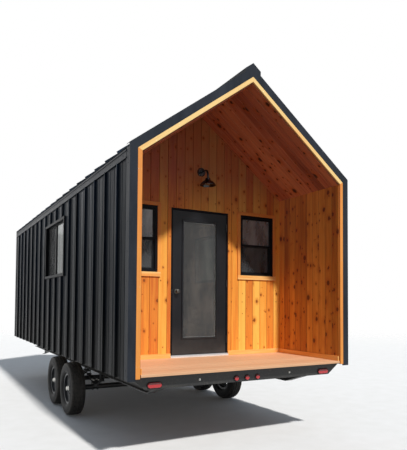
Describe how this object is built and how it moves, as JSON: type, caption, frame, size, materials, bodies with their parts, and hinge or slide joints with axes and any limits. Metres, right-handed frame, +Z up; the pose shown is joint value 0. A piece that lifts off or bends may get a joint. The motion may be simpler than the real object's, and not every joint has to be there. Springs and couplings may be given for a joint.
{
  "type": "tiny house on wheels",
  "caption": "Small gabled cabin with charcoal standing-seam metal skin and a recessed cedar-lined porch, on a tandem-axle trailer with tongue.",
  "frame": {"origin": "middle of the overall width and length, at ground level", "axes": "+Z up, +Y from the porch end towards the tongue, +X to the right for someone facing the porch"},
  "size_m": [3.048, 8.635, 4.461],
  "materials": {
    "black_frame": "matt black vinyl",
    "cedar_board": "oiled cedar",
    "cedar_trim": "oiled cedar",
    "deck_board": "brushed composite board",
    "door_hardware": "matt black",
    "door_paint": "satin black paint",
    "floor_wood": "matt board",
    "framing": "planed softwood and sheathing",
    "lamp_enamel": "gloss black enamel",
    "light_lens": "red lens",
    "siding_metal": "low-gloss charcoal coil coating",
    "threshold_metal": "mill finish",
    "trailer_steel": "semi-gloss black chassis paint",
    "tyre": "matt black rubber",
    "wheel_steel": "satin black enamel",
    "window_glass": "clear float glass",
    "zinc_steel": "black powder coat"
  },
  "bodies": {
    "house": {"axles": "trailer_steel", "back_metal_trim": "siding_metal", "back_wall": "framing", "coupler": "zinc_steel", "cross_members": "trailer_steel", "door_frame": "black_frame", "door_hinges": "door_hardware", "door_threshold": "threshold_metal", "eave_trim": "siding_metal", "front_metal_trim": "siding_metal", "front_wall_gable": "framing", "front_wall_left": "framing", "front_wall_right": "framing", "house_floor": "floor_wood", "leaf_springs_left": "trailer_steel", "leaf_springs_right": "trailer_steel", "main_beam_left": "trailer_steel", "main_beam_right": "trailer_steel", "opening_trim": "cedar_trim", "porch_back_boards": "cedar_board", "porch_ceiling_boards_left": "cedar_board", "porch_ceiling_boards_right": "cedar_board", "porch_deck": "deck_board", "porch_gable_boards": "cedar_board", "porch_lamp_arm": "lamp_enamel", "porch_lamp_shade": "lamp_enamel", "porch_side_boards": "cedar_board", "porch_trim_boards": "cedar_trim", "porch_window_frames": "black_frame", "porch_window_glass": "window_glass", "rear_beam": "trailer_steel", "ridge_cap": "siding_metal", "roof_left": "framing", "roof_panels": "siding_metal", "roof_right": "framing", "side_wall_left": "framing", "side_wall_right": "framing", "side_window_frames": "black_frame", "side_window_glass": "window_glass", "siding_back": "siding_metal", "siding_left": "siding_metal", "siding_right": "siding_metal", "spring_clamps": "trailer_steel", "tongue_beam_left": "trailer_steel", "tongue_beam_right": "trailer_steel", "tongue_jack": "zinc_steel", "trailer_lights": "light_lens"},
    "door": {"door_leaf": "door_paint", "door_glass": "window_glass", "door_handle": "door_hardware", "door_hinge_leaves": "door_hardware"},
    "wheel_porch_left_body": {"wheel_porch_left": "wheel_steel", "tyre_porch_left": "tyre"},
    "wheel_porch_right_body": {"wheel_porch_right": "wheel_steel", "tyre_porch_right": "tyre"},
    "wheel_tongue_left_body": {"wheel_tongue_left": "wheel_steel", "tyre_tongue_left": "tyre"},
    "wheel_tongue_right_body": {"wheel_tongue_right": "wheel_steel", "tyre_tongue_right": "tyre"}
  },
  "joints": [
    {"name": "door_swing", "type": "hinge", "parent": "house", "child": "door", "pos_m": [0.421, -3.0745, 1.935], "axis": [0, 0, 1], "range_deg": [0, 110]},
    {"name": "wheel_porch_left_spin", "type": "hinge", "parent": "house", "child": "wheel_porch_left_body", "pos_m": [-1.3435, -1.6035, 0.386], "axis": [1, 0, 0], "continuous": true},
    {"name": "wheel_porch_right_spin", "type": "hinge", "parent": "house", "child": "wheel_porch_right_body", "pos_m": [1.3435, -1.6035, 0.386], "axis": [1, 0, 0], "continuous": true},
    {"name": "wheel_tongue_left_spin", "type": "hinge", "parent": "house", "child": "wheel_tongue_left_body", "pos_m": [-1.3435, -0.7145, 0.386], "axis": [1, 0, 0], "continuous": true},
    {"name": "wheel_tongue_right_spin", "type": "hinge", "parent": "house", "child": "wheel_tongue_right_body", "pos_m": [1.3435, -0.7145, 0.386], "axis": [1, 0, 0], "continuous": true}
  ]
}
